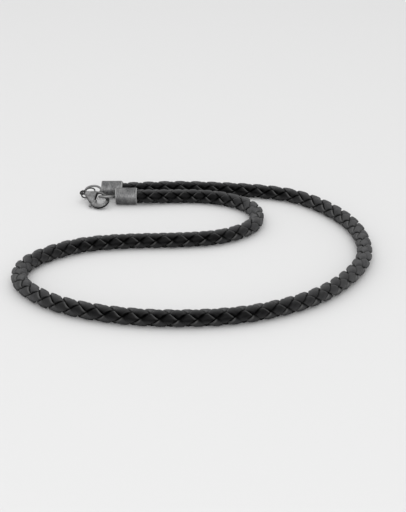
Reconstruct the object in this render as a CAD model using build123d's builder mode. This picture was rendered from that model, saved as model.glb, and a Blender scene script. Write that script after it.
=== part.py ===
# Braided cord necklace, closed and lying flat. Millimetres, floor at z = 0.
# x runs along the two end caps, y away from the viewer, z up.
import os
from bisect import bisect_left
from math import atan2, ceil, cos, degrees, floor, hypot, pi, radians, sin

from build123d import *

os.makedirs("parts", exist_ok=True)

# Braid
CORD_D = 6.0            # over the crowns of the braid
STRANDS = 6             # half of them turn each way
TILE_PITCH = 6.25       # from one lace to the next along the cord
LACE_T = 1.15           # thickness of one lace
LACE_GAP = 0.28         # free space between crossing laces
LACE_COVER = 0.75       # share of its place that a lace fills

# End caps with their soldered loops
CAP_D = 7.0
CAP_LEN = 9.0
CAP_BEVEL = 0.35
CORD_CLEAR = 0.12       # around the braid in the bore
BORE_DEPTH = 7.0
FRONT_CAP_END = (-34.5, 50.1, 3.52)     # middle of the closed end
REAR_CAP_END = (-41.1, 58.7, 3.52)
LOOP_R = 3.27           # to the middle of the wire
LOOP_WIRE_D = 0.95
LOOP_SINK = 0.14        # the wire goes this far into the cap
SOLDER_D = 1.5
FRONT_LOOP_DROP, FRONT_LOOP_TILT = 0.25, 19.0
REAR_LOOP_DROP, REAR_LOOP_TILT = 0.56, -13.9


def loop_centre(cap_end, drop):
    x, y, z = cap_end
    return Vector(x + LOOP_SINK - LOOP_R - LOOP_WIRE_D / 2, y, z - drop)


# Clasp, drawn in its own plane: x from the eye to the claw, y to the gate.
# Its place is given from the middle of the front loop, which it hooks.
CLASP_OFFSET = (-2.65, -2.15, 0.02)
CLASP_HEADING = 33.5    # clockwise from +x, seen from above
CLASP_DIP = 4.0         # claw end lower than the eye
CLASP_LEAN = 26.0       # face turned to the viewer
CLAW_R, CLAW_CENTRE = 3.84, (1.0, -1.48)
HOLE_R, HOLE_CENTRE = 2.16, (1.2, -1.0)
CLAW_T = 1.7
CLAW_BEVEL = 0.4
BODY_T = 2.2
BODY_BEVEL = 0.25
EYE_CENTRE = (-9.5, -0.05)
EYE_R = 0.95            # to the middle of its rim
EYE_WIRE_D = 0.75
NECK_T = 0.8
PIVOT = (-4.3, 1.15)
GATE_PATH = [PIVOT, (-3.3, 2.5), (-1.0, 2.75), (1.2, 2.25)]
TAB_PATH = [PIVOT, (-1.6, -5.3)]
PIN_D = 0.8
PIN_CLEAR = 0.03
LEVER_T = 0.6
LEVER_W = 0.7
BOSS_D = 1.6            # round the pin
TAB_D = 1.1             # round thumb pad at the end of the lever
LEVER_SWING = 14.0
SLOT_CLEAR = 0.12       # between the lever and the walls of its slot
TIP_CLEAR = 0.15        # between the gate's end and the claw's tip

# Connecting ring between the rear loop and the clasp's eye
RING_R = 3.0
RING_WIRE_D = 0.58
RING_OFFSET = (-1.80, -3.83, 0.19)    # from the middle of the rear loop
RING_NORMAL = (0.435, -0.751, -0.496)

# Route of the braid's centre line from the front cap round to the rear cap.
# Each corner is a parabola between the middles of the runs beside it.
ROUTE = [
    (-32, 50.1, 3.52), (-28, 50.1, 3.52), (-20.5, 50.1, 3.4), (-9, 51.5, 3), (1.5, 51.5, 3),
    (13, 48, 3), (23, 38.5, 3), (24.5, 27, 3), (21.5, 16.5, 3), (10.5, 7, 3), (-4, 4, 3),
    (-28.5, 3, 3), (-46, -1, 3), (-61, -14.5, 3), (-64, -27, 3), (-60, -39, 3),
    (-45, -53.5, 3), (-19, -62, 3), (9, -61.5, 3), (29, -54.5, 3), (46.5, -41.5, 3),
    (61.5, -17.5, 3), (64, 5, 3), (60, 26.5, 3), (46, 48.5, 3), (31, 57, 3), (7, 61, 3),
    (-9, 62, 3), (-22, 60.9, 3), (-30, 58.7, 3.52), (-36, 58.7, 3.52), (-38.5, 58.7, 3.52),
]
CORNER_STEPS = 24

# Unevenness of the braid: even distance along the weave, turn of its columns
# in degrees, and how far the weave is pulled on along the cord there.
WEAVE_MARKS = [
    (0, -21, -1.5), (31, -24, -1.4), (62, -36, -1.2), (88, 26, -0.3), (125, 17, -0.6),
    (169, 2, -0.9), (181, 10, -2.2), (206, 39, -6.0), (219, 41, -7.1), (244, 46, -8.0),
    (300, 47, -9.5), (337, 36, -11.1), (369, 18, -10.0), (394, -6, -7.6), (425, 0, -4.2),
    (456, 3, -2.6), (481, -7, 0.0), (505, -7, 0.8),
]


def midpoint(a, b):
    return tuple((i + j) / 2 for i, j in zip(a, b))


def centre_line(route):
    """Points close together along the route, each with its distance from the start."""
    points = []
    last = len(route) - 2
    for k in range(1, last + 1):
        start = route[0] if k == 1 else midpoint(route[k - 1], route[k])
        end = route[-1] if k == last else midpoint(route[k], route[k + 1])
        for i in range(CORNER_STEPS):
            t = i / CORNER_STEPS
            weights = ((1 - t) ** 2, 2 * t * (1 - t), t * t)
            points.append(tuple(
                sum(w * c for w, c in zip(weights, axis)) for axis in zip(start, route[k], end)
            ))
    points.append(tuple(route[-1]))
    lengths = [0.0]
    for a, b in zip(points, points[1:]):
        lengths.append(lengths[-1] + (Vector(*b) - Vector(*a)).length)
    return points, lengths


LINE, LINE_AT = centre_line(ROUTE)
CORD_LEN = LINE_AT[-1]


def line_frame(distance):
    """Point on the centre line with its sideways and upward directions."""
    distance = min(max(distance, 0.0), CORD_LEN)
    k = min(max(bisect_left(LINE_AT, distance), 1), len(LINE) - 1)
    a, b = Vector(*LINE[k - 1]), Vector(*LINE[k])
    share = (distance - LINE_AT[k - 1]) / (LINE_AT[k] - LINE_AT[k - 1])
    before = Vector(*LINE[max(k - 2, 0)])
    after = Vector(*LINE[min(k + 1, len(LINE) - 1)])
    along = ((b - before) * (1 - share) + (after - a) * share).normalized()
    side = Vector(0, 0, 1).cross(along).normalized()
    return a + (b - a) * share, side, along.cross(side)


# A strand runs round the cord while it runs along it. Place `a` counts along
# the strand and `w` across it; strands cross wherever `a` is even.
PLACE = TILE_PITCH / 4
OUTER_R = CORD_D / 2
INNER_R = OUTER_R - LACE_T - LACE_GAP


def weave_at(distance):
    """Turn in radians and pull of the weave, in line between its marks."""
    for (start, turn, pull), (end, next_turn, next_pull) in zip(WEAVE_MARKS, WEAVE_MARKS[1:]):
        if distance <= end:
            break
    share = (distance - start) / (end - start)
    return radians(turn + share * (next_turn - turn)), pull + share * (next_pull - pull)


def strand_point(a, w, radius, hand, turn):
    even = (a - w) * PLACE
    column_turn, pull = weave_at(even)
    angle = hand * ((a + w) * pi / STRANDS + turn) + column_turn
    centre, side, up = line_frame(even + pull)
    return centre + side * (radius * cos(angle)) + up * (radius * sin(angle))


def strand_section(a, outer, hand, turn):
    corners = ((-1, 0), (1, 0), (1, LACE_T), (-1, LACE_T))
    return [strand_point(a, LACE_COVER * w, outer - depth, hand, turn) for w, depth in corners]


def flat_face(*corners):
    return Face(Wire.make_polygon(corners))


def add_strand(hand, turn):
    """One lace of the braid as a closed solid of flat faces."""
    first = ceil(LACE_COVER - weave_at(0)[1] / PLACE / 2)
    last = floor((CORD_LEN - weave_at(CORD_LEN)[1]) / PLACE / 2 - LACE_COVER)
    sections = []
    for crossing in range(first, last + 1):
        # over at one crossing, under at the next, the other hand the other way
        outer = OUTER_R if (crossing % 2 == 0) == (hand > 0) else INNER_R
        for a in (2 * crossing - LACE_COVER, 2 * crossing + LACE_COVER):
            sections.append(strand_section(a, outer, hand, turn))
    faces = []
    for near, far in zip(sections, sections[1:]):
        for i in range(len(near)):
            j = (i + 1) % len(near)
            # outer and inner sides are creased the same way, so that they stay apart
            if i < 2:
                faces.append(flat_face(near[i], near[j], far[i]))
                faces.append(flat_face(near[j], far[j], far[i]))
            else:
                faces.append(flat_face(near[i], near[j], far[j]))
                faces.append(flat_face(near[i], far[j], far[i]))
    for end in (sections[0], sections[-1]):
        faces.append(flat_face(end[0], end[1], end[3]))
        faces.append(flat_face(end[1], end[2], end[3]))
    add(Solid(Shell(faces)), clean=False)


strands = {}
for number in range(STRANDS):
    with BuildPart() as strand:
        add_strand(1 if number % 2 == 0 else -1, number // 2 * 4 * pi / STRANDS)
    strands[f"strand_{number + 1}"] = strand


def add_end_cap(end, drop, tilt):
    """Beaker over the braid's end with a wire loop soldered to its closed end."""
    x, y, z = end
    outward = Plane(origin=end, x_dir=(0, 1, 0), z_dir=(1, 0, 0))
    with BuildSketch(outward) as outline:
        Circle(CAP_D / 2)
    extrude(outline.sketch, amount=CAP_LEN)
    chamfer(edges().filter_by(GeomType.CIRCLE), CAP_BEVEL)
    with BuildSketch(outward.offset(CAP_LEN - BORE_DEPTH)) as bore:
        Circle(CORD_D / 2 + CORD_CLEAR)
    extrude(bore.sketch, amount=BORE_DEPTH, mode=Mode.SUBTRACT)
    normal = (0, sin(radians(tilt)), cos(radians(tilt)))
    with Locations(Plane(origin=loop_centre(end, drop), x_dir=(1, 0, 0), z_dir=normal)):
        Torus(LOOP_R, LOOP_WIRE_D / 2)
    with Locations((x, y, z - drop)):
        Sphere(SOLDER_D / 2)


with BuildPart() as front_end_cap:
    add_end_cap(FRONT_CAP_END, FRONT_LOOP_DROP, FRONT_LOOP_TILT)

with BuildPart() as rear_end_cap:
    add_end_cap(REAR_CAP_END, REAR_LOOP_DROP, REAR_LOOP_TILT)

with BuildPart() as connecting_ring:
    ring_centre = loop_centre(REAR_CAP_END, REAR_LOOP_DROP) + Vector(*RING_OFFSET)
    with Locations(Plane(origin=ring_centre, z_dir=RING_NORMAL)):
        Torus(RING_R, RING_WIRE_D / 2)


def clasp_plane():
    heading, dip, lean = (radians(v) for v in (CLASP_HEADING, CLASP_DIP, CLASP_LEAN))
    nose = Vector(cos(heading) * cos(dip), -sin(heading) * cos(dip), -sin(dip))
    level = nose.cross(Vector(0, 0, 1)).normalized()
    face = level.cross(nose) * cos(lean) + level * sin(lean)
    origin = loop_centre(FRONT_CAP_END, FRONT_LOOP_DROP) + Vector(*CLASP_OFFSET)
    return Plane(origin=origin, x_dir=nose, z_dir=face)


CLASP = clasp_plane()


def rim_edges(part, thickness):
    """Edges of a plate that lie in its two faces."""
    def in_face(edge):
        return abs(abs(CLASP.to_local_coords(edge.center()).Z) - thickness / 2) < 0.001
    return part.edges().filter_by(in_face)


def add_plate(thickness, mode=Mode.ADD):
    extrude(amount=thickness / 2, both=True, mode=mode)


def shares(outline, size):
    """Corners of an outline whose table gives them as shares of one size."""
    return [(size * x, size * y) for x, y in outline]


def turned(point, angle):
    """The point after the lever has turned inwards by an angle in degrees."""
    x, y = point[0] - PIVOT[0], point[1] - PIVOT[1]
    c, s = cos(radians(angle)), sin(radians(angle))
    return (PIVOT[0] + c * x + s * y, PIVOT[1] - s * x + c * y)


def bar(start, end, width):
    """Round-ended bar between two points, drawn in the current sketch."""
    length = hypot(end[0] - start[0], end[1] - start[1])
    angle = degrees(atan2(end[1] - start[1], end[0] - start[0]))
    with Locations(midpoint(start, end)):
        SlotCenterToCenter(length, width, rotation=angle)


def lever_outline(room=0.0, angle=0.0):
    """Gate and thumb tab of the lever, with some room added all round."""
    for path in (GATE_PATH, TAB_PATH):
        corners = [turned(point, angle) for point in path]
        for start, end in zip(corners, corners[1:]):
            bar(start, end, LEVER_W + 2 * room)
    with Locations(PIVOT):
        Circle(BOSS_D / 2 + room)
    with Locations(turned(TAB_PATH[-1], angle)):
        Circle(TAB_D / 2 + room)


# Outlines as shares of the claw's outer radius
BODY_OUTLINE = [
    (-2.05, 0.19), (-0.87, 0.63), (-0.81, 0.55), (-0.62, 0.0), (-0.46, -0.37), (-0.26, -0.72),
    (-0.31, -1.09), (-1.02, -0.83), (-1.96, -0.25),
]
NECK_OUTLINE = [(-2.24, 0.05), (-1.9, 0.22), (-1.9, -0.24), (-2.28, -0.14)]
CLAW_CUT = [(0.0, -0.2), (-0.38, -0.57), (-1.6, -0.6), (-1.6, 1.2)]
THINNING_START, THINNING_NORMAL = (0.5, -0.02), (0.243, 0.437, 0.864)

with BuildPart() as clasp_claw:
    tip_x = max(x for x, y in GATE_PATH) + LEVER_W / 2 + TIP_CLEAR
    gate_side = [(tip_x, 1.2 * CLAW_R), (tip_x, -0.2 * CLAW_R)]
    with BuildSketch(CLASP):
        with Locations(CLAW_CENTRE):
            Circle(CLAW_R)
        with Locations(HOLE_CENTRE):
            Circle(HOLE_R, mode=Mode.SUBTRACT)
        Polygon(*gate_side, *shares(CLAW_CUT, CLAW_R), align=None, mode=Mode.SUBTRACT)
    add_plate(CLAW_T)
    chamfer(rim_edges(clasp_claw, CLAW_T), CLAW_BEVEL)
    # the claw thins towards its tip, where the loop's wire crosses it
    start_x, start_y = shares([THINNING_START], CLAW_R)[0]
    start = CLASP.from_local_coords(Vector(start_x, start_y, CLAW_T / 2))
    slope = CLASP.from_local_coords(Vector(*THINNING_NORMAL)) - CLASP.origin
    split(bisect_by=Plane(origin=start, z_dir=slope), keep=Keep.BOTTOM)

with BuildPart() as clasp_body:
    with BuildSketch(CLASP):
        Polygon(*shares(BODY_OUTLINE, CLAW_R), align=None)
    add_plate(BODY_T)
    chamfer(rim_edges(clasp_body, BODY_T), BODY_BEVEL)
    add(clasp_claw.part)
    with BuildSketch(CLASP):
        Polygon(*shares(NECK_OUTLINE, CLAW_R), align=None)
    add_plate(NECK_T)
    with Locations(CLASP.location * Location((*EYE_CENTRE, 0))):
        Torus(EYE_R, EYE_WIRE_D / 2)
    with BuildSketch(CLASP) as slot:
        lever_outline(SLOT_CLEAR)
        lever_outline(SLOT_CLEAR, LEVER_SWING)
        Polygon(PIVOT, TAB_PATH[-1], turned(TAB_PATH[-1], LEVER_SWING), align=None)
        Polygon(PIVOT, GATE_PATH[1], turned(GATE_PATH[1], LEVER_SWING), align=None)
    add_plate(LEVER_T + 2 * SLOT_CLEAR, mode=Mode.SUBTRACT)
    with BuildSketch(CLASP):
        with Locations(PIVOT):
            Circle(PIN_D / 2 + PIN_CLEAR)
    add_plate(2 * BODY_T, mode=Mode.SUBTRACT)

with BuildPart() as clasp_lever:
    with BuildSketch(CLASP):
        lever_outline()
        with Locations(PIVOT):
            Circle(PIN_D / 2 + PIN_CLEAR, mode=Mode.SUBTRACT)
    add_plate(LEVER_T)

with BuildPart() as clasp_pin:
    with BuildSketch(CLASP):
        with Locations(PIVOT):
            Circle(PIN_D / 2)
    add_plate(BODY_T)

PIECES = {
    **strands,
    "front_end_cap": front_end_cap,
    "rear_end_cap": rear_end_cap,
    "connecting_ring": connecting_ring,
    "clasp_body": clasp_body,
    "clasp_lever": clasp_lever,
    "clasp_pin": clasp_pin,
}
for name, piece in PIECES.items():
    piece.part.label = name
    export_step(piece.part, f"parts/{name}.step")
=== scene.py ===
import math

import bpy
import numpy as np
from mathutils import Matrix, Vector


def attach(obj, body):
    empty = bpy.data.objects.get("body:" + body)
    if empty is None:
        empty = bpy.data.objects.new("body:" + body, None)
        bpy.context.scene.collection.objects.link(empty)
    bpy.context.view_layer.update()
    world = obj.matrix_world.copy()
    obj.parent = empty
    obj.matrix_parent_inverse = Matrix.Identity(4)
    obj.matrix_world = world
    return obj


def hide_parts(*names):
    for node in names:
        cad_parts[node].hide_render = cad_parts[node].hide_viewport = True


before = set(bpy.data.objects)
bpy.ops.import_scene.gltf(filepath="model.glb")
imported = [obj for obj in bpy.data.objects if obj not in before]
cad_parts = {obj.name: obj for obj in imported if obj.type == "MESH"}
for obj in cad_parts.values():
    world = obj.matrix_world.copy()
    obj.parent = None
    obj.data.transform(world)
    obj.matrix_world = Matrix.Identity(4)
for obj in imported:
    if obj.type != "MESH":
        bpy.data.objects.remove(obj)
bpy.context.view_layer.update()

# Camera: it stands on the near side of the necklace, 16 cm above the surface
# and looks down on it at a flat angle.
CAMERA_PLACE = (0.0023, -0.3783, 0.1648)
CAMERA_DIP = 0.41527        # radians below level
CAMERA_LENS = 76.27

camera_data = bpy.data.cameras.new("camera")
camera_data.lens = CAMERA_LENS
camera_data.sensor_width = 36.0
camera_data.clip_start = 0.01
camera_data.clip_end = 20.0
camera = bpy.data.objects.new("camera", camera_data)
camera.location = CAMERA_PLACE
camera.rotation_euler = (math.pi / 2 - CAMERA_DIP, 0.0, 0.0)
bpy.context.scene.collection.objects.link(camera)
bpy.context.scene.camera = camera


# Surface and light: a plain pale table top under a wide soft lamp that stands
# above and a little behind. A second lamp on the near side softens the shadow,
# and even light comes from all round.
TABLE_SIZE = 6.0
TABLE_COLOUR = (0.555, 0.555, 0.555, 1.0)
SKY_COLOUR = (1.0, 1.0, 1.0, 1.0)
SKY_STRENGTH = 0.8
LAMP_AIM = (0.0, 0.0, 0.0)


def plain_material(name, colour, roughness, metallic=0.0):
    """One Principled surface with a single colour; returns material and shader."""
    material = bpy.data.materials.new(name)
    material.use_nodes = True
    shader = material.node_tree.nodes["Principled BSDF"]
    shader.inputs["Base Color"].default_value = colour
    shader.inputs["Roughness"].default_value = roughness
    shader.inputs["Metallic"].default_value = metallic
    return material, shader


def mesh_piece(name, points, faces, material, smooth=True):
    """A mesh object at the origin from an (n, 3) array and a list of faces."""
    mesh = bpy.data.meshes.new(name)
    mesh.from_pydata(points.tolist(), [], faces)
    mesh.update()
    if smooth:
        mesh.polygons.foreach_set("use_smooth", [True] * len(mesh.polygons))
    piece = bpy.data.objects.new(name, mesh)
    bpy.context.scene.collection.objects.link(piece)
    piece.data.materials.append(material)
    return piece


table_material, _ = plain_material("pale table", TABLE_COLOUR, 0.9)
half = TABLE_SIZE / 2
table_corners = np.array([
    (-half, -half, 0.0), (half, -half, 0.0), (half, half, 0.0), (-half, half, 0.0),
])
table = mesh_piece("table_top", table_corners, [(0, 1, 2, 3)], table_material, smooth=False)


def soft_lamp(name, place, size, power):
    """A square area lamp turned so that it faces the middle of the table."""
    data = bpy.data.lights.new(name, "AREA")
    data.shape = "SQUARE"
    data.size = size
    data.energy = power
    lamp = bpy.data.objects.new(name, data)
    lamp.location = place
    direction = Vector(LAMP_AIM) - Vector(place)
    lamp.rotation_euler = direction.to_track_quat("-Z", "Y").to_euler()
    bpy.context.scene.collection.objects.link(lamp)


soft_lamp("overhead lamp", (-0.1, 0.2, 1.1), 2.2, 12.0)
soft_lamp("near fill lamp", (0.0, -1.3, 0.6), 1.2, 15.0)

world = bpy.data.worlds.new("studio")
bpy.context.scene.world = world
bpy.context.scene.view_settings.view_transform = "Standard"
world.use_nodes = True
world.node_tree.nodes["Background"].inputs["Color"].default_value = SKY_COLOUR
world.node_tree.nodes["Background"].inputs["Strength"].default_value = SKY_STRENGTH


# Braid: the neck cord, six flat laces of black leather, three turning each way
# round, each over one and under the next. What lies in its core can't be seen.
# Both of its ends sit in the end caps, most likely glued.
STRANDS = 6
# In millimetres, as all sizes are up to lace_surface, which gives metres.
TILE_PITCH = 6.25       # from tile to tile along the cord
BRAID_OUTER_R = 2.98
LACE_THICK = 1.12
LACE_COVER = 0.87       # share of its place that a lace fills
LACE_CROWN = 0.06       # the lace's middle stands this much over its edges
LACE_DEPTH = 0.62       # from its middle level a lace rises and dips by this
LACE_PLATEAU = 2.6      # higher: flatter tile and steeper dive
LACE_DIVE = 0.28        # higher: each tile dives sooner
LACE_CORNERS = 16       # points round the lace's section
LACE_STEP = 0.125       # from section to section, in quarters of the tile pitch
LACE_MARGIN = 0.1       # left free at each end of the cord, in the same measure
SECTION_ACROSS = 0.45   # powers of the section's rounded oblong: lower is squarer
SECTION_THROUGH = 0.4
# Centre line of the cord, as in the part's source, in millimetres.
ROUTE = [
    (-32, 50.1, 3.52), (-28, 50.1, 3.52), (-20.5, 50.1, 3.4), (-9, 51.5, 3), (1.5, 51.5, 3),
    (13, 48, 3), (23, 38.5, 3), (24.5, 27, 3), (21.5, 16.5, 3), (10.5, 7, 3), (-4, 4, 3),
    (-28.5, 3, 3), (-46, -1, 3), (-61, -14.5, 3), (-64, -27, 3), (-60, -39, 3),
    (-45, -53.5, 3), (-19, -62, 3), (9, -61.5, 3), (29, -54.5, 3), (46.5, -41.5, 3),
    (61.5, -17.5, 3), (64, 5, 3), (60, 26.5, 3), (46, 48.5, 3), (31, 57, 3), (7, 61, 3),
    (-9, 62, 3), (-22, 60.9, 3), (-30, 58.7, 3.52), (-36, 58.7, 3.52), (-38.5, 58.7, 3.52),
]
# Unevenness, fitted to the photograph: even distance along the weave, turn of
# its columns in degrees and how far the weave is pulled on along the cord there.
WEAVE_MARKS = [
    (0, -21, -1.5), (31, -24, -1.4), (62, -36, -1.2), (88, 26, -0.3), (125, 17, -0.6),
    (169, 2, -0.9), (181, 10, -2.2), (206, 39, -6.0), (219, 41, -7.1), (244, 46, -8.0),
    (300, 47, -9.5), (337, 36, -11.1), (369, 18, -10.0), (394, -6, -7.6), (425, 0, -4.2),
    (456, 3, -2.6), (481, -7, 0.0), (505, -7, 0.8),
]


def centre_line(route, steps=40):
    """Each corner is a parabola between the middles of the runs beside it.

    Point = (1 - t) squared of the start, 2 t (1 - t) of the corner and t
    squared of the end, while t goes from 0 to 1.
    """
    start = np.vstack([route[:1], (route[1:-2] + route[2:-1]) / 2])
    end = np.vstack([(route[1:-2] + route[2:-1]) / 2, route[-1:]])
    corner = route[1:-1, None]
    t = (np.arange(steps) / steps)[None, :, None]
    curve = (1 - t) ** 2 * start[:, None] + 2 * t * (1 - t) * corner + t * t * end[:, None]
    return np.vstack([curve.reshape(-1, 3), route[-1:]])


line = centre_line(np.array(ROUTE, float))
line_at = np.concatenate([[0.0], np.cumsum(np.linalg.norm(np.diff(line, axis=0), axis=1))])
CORD_LENGTH = line_at[-1]


def along_line(distance, reach=0.4):
    """Centre, sideways and upward directions at each distance along the line.

    Along = from `reach` before to `reach` after, sideways = up x along and
    upward = along x sideways, each of length one.
    """
    def place(s):
        return np.stack([np.interp(s, line_at, line[:, i]) for i in range(3)], -1)
    before = np.clip(distance - reach, 0, CORD_LENGTH)
    after = np.clip(distance + reach, 0, CORD_LENGTH)
    tangent = place(after) - place(before)
    tangent /= np.linalg.norm(tangent, axis=-1, keepdims=True)
    side = np.cross([0.0, 0.0, 1.0], tangent)
    side /= np.linalg.norm(side, axis=-1, keepdims=True)
    return place(distance), side, np.cross(tangent, side)


def tube_faces(rings, corners):
    """Faces of a closed tube: a quad joins corners k and k + 1 of each ring to
    the same corners of the next, and one face closes each end."""
    ring = np.arange(rings - 1)[:, None] * corners
    corner = np.arange(corners)[None, :]
    after = (corner + 1) % corners
    next_ring = ring + corners
    quads = np.stack([ring + corner, ring + after, next_ring + after, next_ring + corner], -1)
    faces = [tuple(q) for q in quads.reshape(-1, 4).tolist()]
    faces.append(tuple(range(corners))[::-1])
    faces.append(tuple(range((rings - 1) * corners, rings * corners)))
    return faces


def rounded(wave, power):
    """The size of a sine or cosine to a power under one, with its own sign."""
    return np.sign(wave) * np.abs(wave) ** power


def painted_light_masks(points, spoke, across, through, level):
    """Two masks over a lace: a painted highlight on its upper cut edges, and painted shade where it
    lies in shade.

    The highlight = the distance across the lace to the power 8, fading out on its inner
    side and where the surface looks down. The painted shade grows as the lace dives under
    its neighbours, or as its place on the cord turns down, whichever is more.
    """
    outward = points - points.mean(axis=1, keepdims=True)
    upward = outward[..., 2] / np.linalg.norm(outward, axis=-1)
    outer_side = np.clip(0.8 + 1.2 * through, 0, 1)
    upper_side = np.clip(0.1 + 1.5 * upward, 0, 1)
    # Painted highlight on the upper cut edges, as if they catch the light.
    painted_highlight = np.abs(across) ** 8 * outer_side * upper_side
    # Painted shade where the lace dives under its neighbours and where the cord turns down.
    dived = 0.45 - level - 0.35 * through * (across ** 2 < 0.8)
    underneath = -0.1 - 1.1 * spoke[..., 2]
    return painted_highlight, np.clip(np.maximum(dived, underneath), 0, 1)


def lace_surface(hand, turn):
    """Points of one lace: `a` runs along it and `w` across it, both in quarters
    of the tile pitch, with the section's rounded oblong round them.

    Angle round the cord = (a + w) pi / STRANDS, and distance along it = (a - w)
    quarters of the tile pitch. The lace's level follows a flattened cosine of
    half pi a: over at a = 0, 4, 8 and under between them, and the other way
    round for the other hand. Its radius is that level, less the crown at its
    edges, and out or in by half its thickness.
    """
    quarter = TILE_PITCH / 4
    marks = np.array(WEAVE_MARKS, float)
    first = LACE_COVER - marks[0, 2] / quarter + LACE_MARGIN
    last = (CORD_LENGTH - marks[-1, 2]) / quarter - LACE_COVER - LACE_MARGIN
    a = np.arange(first, last, LACE_STEP)[:, None]
    phi = (np.arange(LACE_CORNERS) / LACE_CORNERS * 2 * np.pi)[None, :]
    across = rounded(np.cos(phi), SECTION_ACROSS)
    through = rounded(np.sin(phi), SECTION_THROUGH)
    w = LACE_COVER * across
    phase = np.cos(np.pi * a / 2) * hand - LACE_DIVE
    level = np.tanh(LACE_PLATEAU * phase) / math.tanh(LACE_PLATEAU)
    middle = BRAID_OUTER_R - LACE_THICK / 2 - LACE_DEPTH
    radius = middle + LACE_DEPTH * level - LACE_CROWN * across ** 2 + LACE_THICK / 2 * through
    even = (a - w) * quarter
    columns = np.radians(np.interp(even, marks[:, 0], marks[:, 1]))
    along = even + np.interp(even, marks[:, 0], marks[:, 2])
    angle = hand * ((a + w) * np.pi / STRANDS + turn) + columns
    centre, side, up = along_line(along)
    spoke = side * np.cos(angle)[..., None] + up * np.sin(angle)[..., None]
    points = centre + spoke * radius[..., None]
    painted_highlight, painted_shade = painted_light_masks(points, spoke, across, through, level)
    return points / 1000, spoke, painted_highlight, painted_shade


def noise(tree, vector, scale, detail):
    """Value about one half that wanders from place to place."""
    spots = tree.nodes.new("ShaderNodeTexNoise")
    spots.inputs["Scale"].default_value = scale
    spots.inputs["Detail"].default_value = detail
    tree.links.new(vector, spots.inputs["Vector"])
    return spots.outputs["Fac"]


def ramp(tree, value, low, high, start=0.0, end=1.0):
    """Value = start at low, end at high, in line between them and level beyond."""
    line_up = tree.nodes.new("ShaderNodeMapRange")
    line_up.inputs["From Min"].default_value = low
    line_up.inputs["From Max"].default_value = high
    line_up.inputs["To Min"].default_value = start
    line_up.inputs["To Max"].default_value = end
    tree.links.new(value, line_up.inputs["Value"])
    return line_up.outputs["Result"]


def blend_colour(tree, mask, base, colour, way="MIX"):
    """Colour = base where the mask is zero and the given colour where it is one.

    With the way MULTIPLY it is base times the given colour where it is one.
    """
    blend = tree.nodes.new("ShaderNodeMix")
    blend.data_type = "RGBA"
    blend.blend_type = way
    blend.inputs["B"].default_value = colour
    tree.links.new(mask, blend.inputs["Factor"])
    tree.links.new(base, blend.inputs["A"])
    return blend.outputs["Result"]


def relief(tree, height, strength, distance):
    """Normal tipped by the slope of the height, whose full size is the distance."""
    bump = tree.nodes.new("ShaderNodeBump")
    bump.inputs["Strength"].default_value = strength
    bump.inputs["Distance"].default_value = distance
    tree.links.new(height, bump.inputs["Height"])
    return bump.outputs["Normal"]


def lace_value(tree, name, output):
    """What the lace's mesh holds under a name."""
    attribute = tree.nodes.new("ShaderNodeAttribute")
    attribute.attribute_name = name
    return attribute.outputs[output]


def leather_material():
    """Matt black leather with a painted sheen that makes it paler where it is seen at a slant.

    Colour = dark to pale by the Facing value of the cord's round outline
    (painted sheen), mottled, with a painted highlight on the upper cut edges and
    nearly black painted shade underneath and where a lace dives under its neighbours.
    """
    material, shader = plain_material("black leather", (0.014, 0.014, 0.015, 1), 0.5)
    shader.inputs["Specular IOR Level"].default_value = 0.07
    tree = material.node_tree
    place = tree.nodes.new("ShaderNodeTexCoord").outputs["Object"]
    grain = noise(tree, place, 1800, 4)
    mottle = noise(tree, place, 260, 2)
    slope = tree.nodes.new("ShaderNodeLayerWeight")
    tree.links.new(lace_value(tree, "spoke", "Vector"), slope.inputs["Normal"])
    # Painted sheen: paler where the cord's outline is seen at a slant, darker where it faces the
    # eye.
    painted_sheen = ramp(tree, slope.outputs["Facing"], 0.07, 0.6)
    tone = tree.nodes.new("ShaderNodeMix")
    tone.data_type = "RGBA"
    tone.inputs["A"].default_value = (0.002, 0.002, 0.0022, 1)
    tone.inputs["B"].default_value = (0.07, 0.07, 0.071, 1)
    tree.links.new(painted_sheen, tone.inputs["Factor"])
    colour = blend_colour(tree, mottle, tone.outputs["Result"], (0.45, 0.45, 0.46, 1), "MULTIPLY")
    painted_highlight, painted_shade = lace_value(tree, "painted_highlight", "Fac"), lace_value(tree, "painted_shade", "Fac")
    # Painted highlight on the upper cut edges.
    colour = blend_colour(tree, painted_highlight, colour, (0.085, 0.085, 0.085, 1))
    # Painted shade, nearly black, underneath and where a lace dives under its neighbours.
    colour = blend_colour(tree, painted_shade, colour, (0.001, 0.001, 0.001, 1))
    tree.links.new(colour, shader.inputs["Base Color"])
    tree.links.new(ramp(tree, mottle, 0.0, 1.0, 0.42, 0.6), shader.inputs["Roughness"])
    tree.links.new(relief(tree, grain, 0.25, 0.00012), shader.inputs["Normal"])
    return material


leather = leather_material()
for number in range(STRANDS):
    hand = 1 if number % 2 == 0 else -1
    turn = number // 2 * 4 * math.pi / STRANDS      # laces of one hand stand evenly round
    points, spoke, painted_highlight, painted_shade = lace_surface(hand, turn)
    faces = tube_faces(*points.shape[:2])
    lace = mesh_piece(f"lace_{number + 1}", points.reshape(-1, 3), faces, leather)
    if hand < 0:
        lace.data.flip_normals()
    attribute = lace.data.attributes.new("spoke", "FLOAT_VECTOR", "POINT")
    attribute.data.foreach_set("vector", spoke.reshape(-1).astype(np.float32))
    for mask, values in (("painted_highlight", painted_highlight), ("painted_shade", painted_shade)):
        attribute = lace.data.attributes.new(mask, "FLOAT", "POINT")
        attribute.data.foreach_set("value", values.reshape(-1).astype(np.float32))
    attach(lace, "necklace")
    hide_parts(f"strand_{number + 1}")
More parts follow.
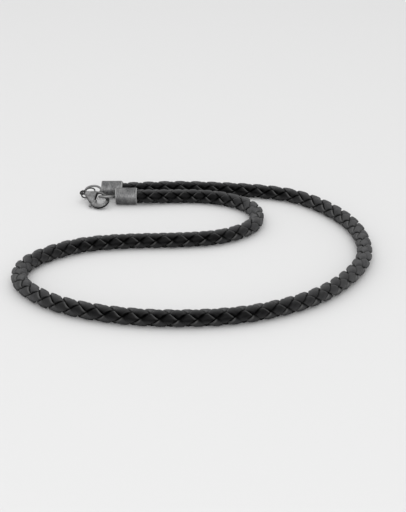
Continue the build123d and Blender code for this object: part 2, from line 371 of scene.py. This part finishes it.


# End caps: two short beakers of darkened silver alloy, turned and brushed, most
# likely glued over the braid's ends, with a wire loop soldered to each closed
# end. Their sharp edges carry a painted highlight.
FRONT_CAP_ENDS = (-0.0345, -0.0255)     # along x, the closed end first
FRONT_CAP_AXIS = (0.0501, 0.00352)      # y and z
REAR_CAP_ENDS = (-0.0411, -0.0321)
REAR_CAP_AXIS = (0.0587, 0.00352)
CAP_R = 0.0035
CAP_BEVEL_WIDTH = 0.00035
CAP_DARK = (0.06, 0.06, 0.062, 1)
CAP_LIGHT = (0.19, 0.19, 0.19, 1)
# Painted highlight on the rims at both ends of each cap.
CAP_RIM_HIGHLIGHT = (0.42, 0.42, 0.42, 1)
CAP_WIRE = (0.2, 0.2, 0.2, 1)
CAP_BRUSHING = (1.0, 0.45, 0.45)        # marks run longer across the cap than along it
CAP_WIRE_START = 0.0001                 # beyond the closed end, where the wire's tone sets in
CAP_WIRE_BLEND = 0.0002                 # the length over which it does


def dark_metal_group():
    """Shader group: tone = mix of dark and light by noise, with its relief as a normal."""
    group = bpy.data.node_groups.new("dark metal", "ShaderNodeTree")
    for way, name, kind in (
        ("INPUT", "Vector", "NodeSocketVector"),
        ("INPUT", "Dark", "NodeSocketColor"),
        ("INPUT", "Light", "NodeSocketColor"),
        ("OUTPUT", "Colour", "NodeSocketColor"),
        ("OUTPUT", "Roughness", "NodeSocketFloat"),
        ("OUTPUT", "Normal", "NodeSocketVector"),
    ):
        group.interface.new_socket(name, in_out=way, socket_type=kind)
    taken = group.nodes.new("NodeGroupInput")
    given = group.nodes.new("NodeGroupOutput")
    patches = noise(group, taken.outputs["Vector"], 420, 3)
    grain = noise(group, taken.outputs["Vector"], 2600, 4)
    both = group.nodes.new("ShaderNodeMix")
    both.inputs["Factor"].default_value = 0.55
    group.links.new(patches, both.inputs["A"])
    group.links.new(grain, both.inputs["B"])
    spread = ramp(group, both.outputs["Result"], 0.35, 0.65)
    tone = group.nodes.new("ShaderNodeMix")
    tone.data_type = "RGBA"
    group.links.new(spread, tone.inputs["Factor"])
    group.links.new(taken.outputs["Dark"], tone.inputs["A"])
    group.links.new(taken.outputs["Light"], tone.inputs["B"])
    group.links.new(tone.outputs["Result"], given.inputs["Colour"])
    group.links.new(ramp(group, spread, 0.0, 1.0, 0.62, 0.45), given.inputs["Roughness"])
    group.links.new(relief(group, grain, 0.35, 0.00004), given.inputs["Normal"])
    return group


dark_metal = dark_metal_group()


def vector_step(tree, operation, vector, constant=(0.0, 0.0, 0.0)):
    """One step of a formula: the vector and a constant, by the named operation."""
    step = tree.nodes.new("ShaderNodeVectorMath")
    step.operation = operation
    step.inputs[1].default_value = constant
    tree.links.new(vector, step.inputs[0])
    return step


def metal_material(name, dark, light, stretch=(1.0, 1.0, 1.0)):
    """Principled metal driven by the group; an axis's stretch under 1 draws its marks out there."""
    material, shader = plain_material(name, light, 0.4, metallic=0.9)
    tree = material.node_tree
    place = tree.nodes.new("ShaderNodeTexCoord").outputs["Object"]
    surface = tree.nodes.new("ShaderNodeGroup")
    surface.node_tree = dark_metal
    surface.inputs["Dark"].default_value = dark
    surface.inputs["Light"].default_value = light
    stretched = vector_step(tree, "MULTIPLY", place, stretch)
    tree.links.new(stretched.outputs["Vector"], surface.inputs["Vector"])
    tree.links.new(surface.outputs["Colour"], shader.inputs["Base Color"])
    tree.links.new(surface.outputs["Roughness"], shader.inputs["Roughness"])
    tree.links.new(surface.outputs["Normal"], shader.inputs["Normal"])
    return material, shader, surface.outputs["Colour"]


def distance_along(tree, origin, direction):
    """Value = (place - origin) . direction in object coordinates."""
    place = tree.nodes.new("ShaderNodeTexCoord").outputs["Object"]
    offset = vector_step(tree, "SUBTRACT", place, origin)
    return vector_step(tree, "DOT_PRODUCT", offset.outputs["Vector"], direction).outputs["Value"]


def distance_from_axis(tree, axis):
    """Value = distance in object coordinates from a line along x at the axis's y and z."""
    place = tree.nodes.new("ShaderNodeTexCoord").outputs["Object"]
    offset = vector_step(tree, "SUBTRACT", place, (0.0, *axis))
    flat = vector_step(tree, "MULTIPLY", offset.outputs["Vector"], (0.0, 1.0, 1.0))
    return vector_step(tree, "LENGTH", flat.outputs["Vector"]).outputs["Value"]


def cap_material(name, ends, axis):
    """Brushed barrel with a painted highlight on the rims at both ends and dark wire beyond the
    closed end.

    The painted highlight = near either end, by the distance from the cap's middle, times near
    the outer radius.
    """
    material, shader, colour = metal_material(name, CAP_DARK, CAP_LIGHT, CAP_BRUSHING)
    tree = material.node_tree
    half_length = (ends[1] - ends[0]) / 2
    along = distance_along(tree, ((ends[0] + ends[1]) / 2, 0.0, 0.0), (1.0, 0.0, 0.0))
    distance = tree.nodes.new("ShaderNodeMath")
    distance.operation = "ABSOLUTE"
    tree.links.new(along, distance.inputs[0])
    dull, shine = half_length - 1.3 * CAP_BEVEL_WIDTH, half_length - 0.6 * CAP_BEVEL_WIDTH
    at_end = ramp(tree, distance.outputs["Value"], dull, shine)
    radius = distance_from_axis(tree, axis)
    at_rim = ramp(tree, radius, CAP_R - 2.0 * CAP_BEVEL_WIDTH, CAP_R - CAP_BEVEL_WIDTH)
    # Painted highlight on the rims: near either end and near the outer radius.
    painted_rim_highlight = tree.nodes.new("ShaderNodeMath")
    painted_rim_highlight.operation = "MULTIPLY"
    tree.links.new(at_end, painted_rim_highlight.inputs[0])
    tree.links.new(at_rim, painted_rim_highlight.inputs[1])
    colour = blend_colour(tree, painted_rim_highlight.outputs["Value"], colour, CAP_RIM_HIGHLIGHT)
    beyond = distance_along(tree, (ends[0] - CAP_WIRE_START, 0.0, 0.0), (-1.0, 0.0, 0.0))
    colour = blend_colour(tree, ramp(tree, beyond, 0.0, CAP_WIRE_BLEND), colour, CAP_WIRE)
    tree.links.new(colour, shader.inputs["Base Color"])
    return material


def coat(node, material):
    """Give a node of the CAD model one material."""
    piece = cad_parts[node]
    piece.data.materials.clear()
    piece.data.materials.append(material)


coat("front_end_cap", cap_material("front end cap", FRONT_CAP_ENDS, FRONT_CAP_AXIS))
coat("rear_end_cap", cap_material("rear end cap", REAR_CAP_ENDS, REAR_CAP_AXIS))

# Connecting ring: a jump ring bent from round wire of the same dark silver,
# hung between the rear loop and the clasp's eye. It is made without a gap, as
# if soldered shut.
material, _, _ = metal_material("ring wire", (0.04, 0.04, 0.04, 1), (0.14, 0.14, 0.14, 1))
coat("connecting_ring", material)

# Clasp body: a lobster claw cast in one piece from silver alloy, tumbled to a
# satin grey, with darker patches left from the finish. Its side walls below the
# upper face, and all of its far side, carry painted shade.
CLASP_MIDDLE = (-0.0437322, 0.0511601, 0.0040929)
CLASP_FACE = (-0.189671, -0.400156, 0.896605)
# Heights for the painted shade on the clasp's side walls and far side.
CLASP_LIT = 0.00062         # this far over its middle plane and more: its full tone
CLASP_SHADED = 0.00038      # this far over it and less, and all of its far side: in shade
material, shader, colour = metal_material(
    "clasp casting", (0.07, 0.07, 0.07, 1), (0.25, 0.25, 0.25, 1)
)
tree = material.node_tree
depth = distance_along(tree, CLASP_MIDDLE, CLASP_FACE)
# Painted shade on the side walls and all of the far side.
painted_wall_shade = ramp(tree, depth, CLASP_LIT, CLASP_SHADED)
colour = blend_colour(tree, painted_wall_shade, colour, (0.03, 0.03, 0.03, 1))
tree.links.new(colour, shader.inputs["Base Color"])
coat("clasp_body", material)

# Clasp lever: the gate and its thumb tab, stamped from sheet and polished by
# use. It turns on the pin and a hidden spring shuts it.
material, _, _ = metal_material("clasp lever", (0.06, 0.06, 0.06, 1), (0.2, 0.2, 0.2, 1))
coat("clasp_lever", material)

# Clasp pin: a steel rivet through the body and the lever, which turns on it,
# ground flush on both sides.
material, _, _ = metal_material("clasp pin", (0.1, 0.1, 0.1, 1), (0.25, 0.25, 0.25, 1))
coat("clasp_pin", material)
